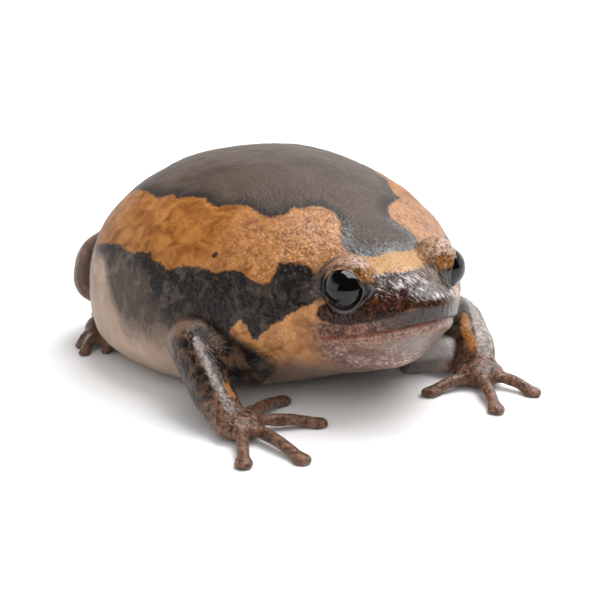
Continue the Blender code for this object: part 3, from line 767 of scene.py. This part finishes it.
# Under the mouth the throat is grey-brown with clusters of cream granules, smooth at the
# chin and flecked on the lower lip. The mouth's line, the nostrils and the lids come last
throat = mixed(noisy(blotch, 1.6, 0.5), "644b41", "8e7265")
smooth_jaw = mixed(noisy(patchy, 0.8, 0.5), "6f6461", "8f8582")
throat = mixed(torn(onward, 27.5, 30.5, blotch, 0.4), throat, smooth_jaw)
beads = add(tree, "ShaderNodeTexVoronoi", {"Vector": place, "Scale": 1 / (0.5 * MM)})["Distance"]
cream = times(noisy(beads, -4.0, 2.2), noisy(grain, 1.8, 0.7), ramp(onward, 30.0, 27.5))
cream = times(cream, noisy(cloud(2.2, 2.0), 2.0, 0.65), 0.9)
throat = mixed(cream, throat, "d4bcae")
flecked = mixed(noisy(speckle, 2.4, 0.5), "5b3a2c", "a5806c")
throat = mixed(times(torn(jaw, -2.0, -1.1, ragged, 0.8), 0.75), throat, flecked)
under = times(ramp(jaw, 0.15, -0.35), torn(onward, 20.5, 24.0, ragged))
colour = mixed(under, colour, throat)
seam = times(ramp(math_of("ABSOLUTE", stored("mouth")), 0.4, 0.0), noisy(blotch, 1.4, 0.7))
colour = mixed(times(seam, 0.75), colour, "7e3d2c")
nostril = stored("nostril")
colour = mixed(times(torn(nostril, 1.5, 1.0, ragged), 0.8), colour, "3d1a13")
# Painted shade: the nostrils' pits are near black, inside a dark reddish-brown ring
colour = mixed(ramp(nostril, 0.85, 0.55), colour, "260b08")
colour = mixed(stored("rim"), colour, "17120f")
ring_dye_and_glints = mixed(noisy(grain, 1.0, 0.5), "100f0f", "242120")
# Painted highlights: the pale lines on the lid's ridges
ring_dye_and_glints = mixed(math_of("MULTIPLY", stored("line"), 0.8, clamp=True), ring_dye_and_glints, "6a6561")
colour = mixed(stored("lid"), colour, ring_dye_and_glints)

# Limbs: brown, blotched with black, with a lilac stripe down the forearm and an orange patch
# beside it; the stripe is partly pale skin and partly a painted highlight along the forearm's wet
# top. The hands are flecked, and the folds between limb and trunk are painted black as shade
chest_skin = times(ramp(aside, 7.5, 10.0), ramp(high, 7.5, 5.0), ramp(onward, 11.0, 13.5))
colour = mixed(chest_skin, colour, mixed(noisy(patchy, 0.8, 0.5), "a39c99", "bab4b1"))
arm_dye = mixed(noisy(blotch, 3.0, 0.4), "110c09", "4c3728")
arm_dye = mixed(noisy(speckle, 1.8, -0.75), arm_dye, "866c58")
arm_dye = mixed(noisy(cloud(3.0, 2.0), 5.0, -1.6), arm_dye, "7d4c24")
arm_root = times(torn(onward, 12.5, 10.0, ragged, 0.6), 0.8)
arm_dye = mixed(arm_root, arm_dye, mixed(noisy(blotch, 1.2, 0.5), "4a382d", "7a6152"))
colour = mixed(stored("arm"), colour, arm_dye)
hand_dye = mixed(noisy(grain, 1.8, 0.5), "3f2a20", "7b5a48")
knuckles = ramp(high, 1.7, 2.7)
dark = math_of("MULTIPLY_ADD", cloud(0.8, 2.0), 4.0, -1.2)
dark = math_of("MULTIPLY_ADD", knuckles, 1.2, dark, clamp=True)
hand_dye = mixed(times(dark, 0.85), hand_dye, "1c1511")
hand_dye = mixed(noisy(speckle, 2.6, -1.0), hand_dye, "a8917f")
inward = times(ramp(aside, 5.0, 6.0), ramp(onward, 18.6, 17.6), 0.9)
hand_dye = mixed(inward, hand_dye, "857c78")
colour = mixed(stored("hand"), colour, hand_dye)
# The forearm's stripe: pale skin and a painted highlight along its top
lilac_and_highlight = mixed(noisy(speckle, 1.8, 0.5), "574d49", "a0958f")
colour = mixed(times(torn(stored("stripe"), 0.7, 0.3, ragged, 1.5), 0.85), colour, lilac_and_highlight)
colour = mixed(times(torn(stored("patch"), 0.7, 0.3, ragged), 0.7), colour, "9a642f")
colour = mixed(stored("leg"), colour, mixed(noisy(blotch, 1.4, 0.5), "413129", "6d5242"))
# Painted shade: the folds, the crease over the arms and the armpit go near black
colour = mixed(math_of("MULTIPLY", stored("fold"), 0.95, clamp=True), colour, "0e0704")

# Relief and gloss. Granules, grain, the flank's wrinkles and the snout's wet streaks are
# raised by a tenth of a millimetre, and the clear coat over them is the film of mucus
RELIEF_HEIGHT = 0.11
granules = add(
    tree, "ShaderNodeTexVoronoi",
    {"Vector": place, "Scale": 1 / (0.5 * MM), "Randomness": 0.9, "Smoothness": 0.4},
    feature="SMOOTH_F1",
)["Distance"]
relief = math_of("MULTIPLY_ADD", granules, -0.9, times(fine, 0.25))
relief = math_of("MULTIPLY_ADD", grain, 0.3, relief)
relief = math_of("MULTIPLY_ADD", wrinkles, 0.9, relief)
relief = math_of("MULTIPLY_ADD", times(glints, edge(snout_edge, 0.5, 0.0)), 0.8, relief)
relief = times(relief, stored("rough"))
bump = add(
    tree, "ShaderNodeBump",
    {"Strength": 1.0, "Distance": RELIEF_HEIGHT * MM, "Height": relief},
)["Normal"]
film = stored("wet")
tree.links.new(colour, shader.inputs["Base Color"])
tree.links.new(bump, shader.inputs["Normal"])
tree.links.new(bump, shader.inputs["Coat Normal"])
tree.links.new(math_of("MULTIPLY_ADD", film, -0.15, 0.5), shader.inputs["Roughness"])
tree.links.new(film, shader.inputs["Coat Weight"])
shader.inputs["Specular IOR Level"].default_value = 0.2
shader.inputs["IOR"].default_value = 1.4
shader.inputs["Coat Roughness"].default_value = 0.1
shader.inputs["Coat IOR"].default_value = 1.4

skin = bpy.data.objects.new("skin", skin_mesh)
bpy.context.scene.collection.objects.link(skin)
skin_mesh.materials.append(hide_dye)
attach(skin, "root")
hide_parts(*FLESH)

# The eyes. Each is a smooth, wet black ball: the iris is so dark that the pupil can't be
# told from it, and the clear cornea over it mirrors the lamp and the floor
eye_dye = bpy.data.materials.new("wet_black_eye")
eye_dye.use_nodes = True
tree = eye_dye.node_tree
shader = tree.nodes["Principled BSDF"]
place = add(tree, "ShaderNodeTexCoord")["Object"]
iris = mixed(noisy(cloud(0.5, 2.0), 0.5, 0.5), "040404", "0b0908")
tree.links.new(iris, shader.inputs["Base Color"])
shader.inputs["Roughness"].default_value = 0.03
shader.inputs["IOR"].default_value = 1.36
shader.inputs["Coat Weight"].default_value = 0.4
shader.inputs["Coat Roughness"].default_value = 0.01
shader.inputs["Coat IOR"].default_value = 1.36
for eye_side, middle in eye_middles.items():
    form = bmesh.new()
    bmesh.ops.create_uvsphere(
        form, u_segments=96, v_segments=64, radius=(EYE_RADIUS - 0.01) * MM,
        matrix=Matrix.Translation(middle),
    )
    mesh = bpy.data.meshes.new("eyeball_" + eye_side)
    form.to_mesh(mesh)
    form.free()
    mesh.shade_smooth()
    mesh.materials.append(eye_dye)
    eyeball = bpy.data.objects.new("eyeball_" + eye_side, mesh)
    bpy.context.scene.collection.objects.link(eyeball)
    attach(eyeball, "root")
    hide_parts("eye_" + eye_side)

# The table. It is matt white and reaches far past the picture's edges. It belongs to the studio
# and not to the frog
FLOOR_HALF = 3.0
floor_form = bmesh.new()
bmesh.ops.create_grid(floor_form, x_segments=1, y_segments=1, size=FLOOR_HALF)
floor_mesh = bpy.data.meshes.new("table")
floor_form.to_mesh(floor_mesh)
floor_form.free()
table = bpy.data.objects.new("table", floor_mesh)
bpy.context.scene.collection.objects.link(table)
paint = bpy.data.materials.new("matt_white_table")
paint.use_nodes = True
shader = paint.node_tree.nodes["Principled BSDF"]
shader.inputs["Base Color"].default_value = (0.8, 0.8, 0.8, 1)
shader.inputs["Roughness"].default_value = 0.6
shader.inputs["Specular IOR Level"].default_value = 0.2
floor_mesh.materials.append(paint)

# The camera looks down on the frog's right front from a quarter of a metre away, through
# a long lens. Its bearing is counted from straight ahead, and its aim is moved across and
# up the picture, in millimetres
CAMERA_BEARING = math.radians(32.7)
CAMERA_PITCH = math.radians(16.5)
CAMERA_DISTANCE = 250.0
CAMERA_AIM = (0.91, -2.92)
AIM_HEIGHT = 12.0
FOCAL_PIXELS = 1780.0
FRAME_PIXELS = 600.0
back_of = np.array(
    (
        math.cos(CAMERA_BEARING) * math.cos(CAMERA_PITCH),
        -math.sin(CAMERA_BEARING) * math.cos(CAMERA_PITCH),
        math.sin(CAMERA_PITCH),
    )
)
right_of = np.array((math.sin(CAMERA_BEARING), math.cos(CAMERA_BEARING), 0))
top_of = np.cross(right_of, -back_of)
aimed = np.array((0, 0, AIM_HEIGHT)) + right_of * CAMERA_AIM[0] + top_of * CAMERA_AIM[1]
stand = aimed + back_of * CAMERA_DISTANCE


def turned(direction):
    """A direction in the frog's frame as a world vector."""
    return Vector((direction[1], -direction[0], direction[2]))


lens = bpy.data.cameras.new("camera")
lens.sensor_width = 36
lens.lens = FOCAL_PIXELS / FRAME_PIXELS * lens.sensor_width
lens.clip_start = 0.005
camera = bpy.data.objects.new("camera", lens)
bpy.context.scene.collection.objects.link(camera)
axes = Matrix([turned(right_of), turned(top_of), turned(back_of)]).transposed().to_4x4()
camera.matrix_world = Matrix.Translation(Vector(to_world(stand)[0])) @ axes
bpy.context.scene.camera = camera

# The lamps. A square softbox hangs over the frog's left side, where its mirror image lies
# in the upper part of the eye. A wide, weak one at the right front has no mirror image and
# only softens the shade on the throat and the arm
SOFTBOX_WAY = (-0.032, 0.441, 0.8965)
SOFTBOX_AWAY = 650.0
SOFTBOX_SIDE = 0.66
SOFTBOX_POWER = 8.4
FILL_WAY = (0.60, -0.38, 0.70)
FILL_AWAY = 900.0
FILL_SIDE = 1.1
FILL_POWER = 7.0


def hung(name, start, way, away, side, power):
    """A square softbox hung from a place along a direction, facing back the same way."""
    light = bpy.data.lights.new(name, "AREA")
    light.shape = "SQUARE"
    light.size = side
    light.energy = power
    lamp = bpy.data.objects.new(name, light)
    bpy.context.scene.collection.objects.link(lamp)
    lamp.location = to_world(np.array(start) + np.array(way) * away)[0]
    lamp.rotation_mode = "QUATERNION"
    lamp.rotation_quaternion = turned(way).to_track_quat("Z", "Y")
    return lamp


right_eye = (EYE_FORWARD, -EYE_SIDE, EYE_HEIGHT)
hung("softbox", right_eye, SOFTBOX_WAY, SOFTBOX_AWAY, SOFTBOX_SIDE, SOFTBOX_POWER)
fill = hung("fill", (0, 0, 0), FILL_WAY, FILL_AWAY, FILL_SIDE, FILL_POWER)
fill.visible_glossy = False

# The room. The white sweep behind the table glows, and the room is dark overhead and on
# the camera's side, so that wet skin and eyes mirror darkness between the lights
SWEEP_LIGHT = 1.4
DARK_ROOM = 0.02
DARK_BEARING = math.radians(10)
room = bpy.data.worlds.new("room")
room.use_nodes = True
tree = room.node_tree
way = add(tree, "ShaderNodeTexCoord")["Generated"]
toward = turned((math.cos(DARK_BEARING), -math.sin(DARK_BEARING), 0))
parts = add(tree, "ShaderNodeSeparateXYZ", {"Vector": way})
facing = add(tree, "ShaderNodeVectorMath", {0: way, 1: toward}, operation="DOT_PRODUCT")["Value"]
glow = times(ramp(facing, 0.5, 0.35), ramp(parts["Z"], 0.6, 0.35))
glow = math_of("MULTIPLY_ADD", glow, SWEEP_LIGHT - DARK_ROOM, DARK_ROOM)
tree.links.new(glow, tree.nodes["Background"].inputs["Strength"])
tree.nodes["Background"].inputs["Color"].default_value = (1, 1, 1, 1)
bpy.context.scene.world = room
bpy.context.scene.view_settings.view_transform = "Standard"
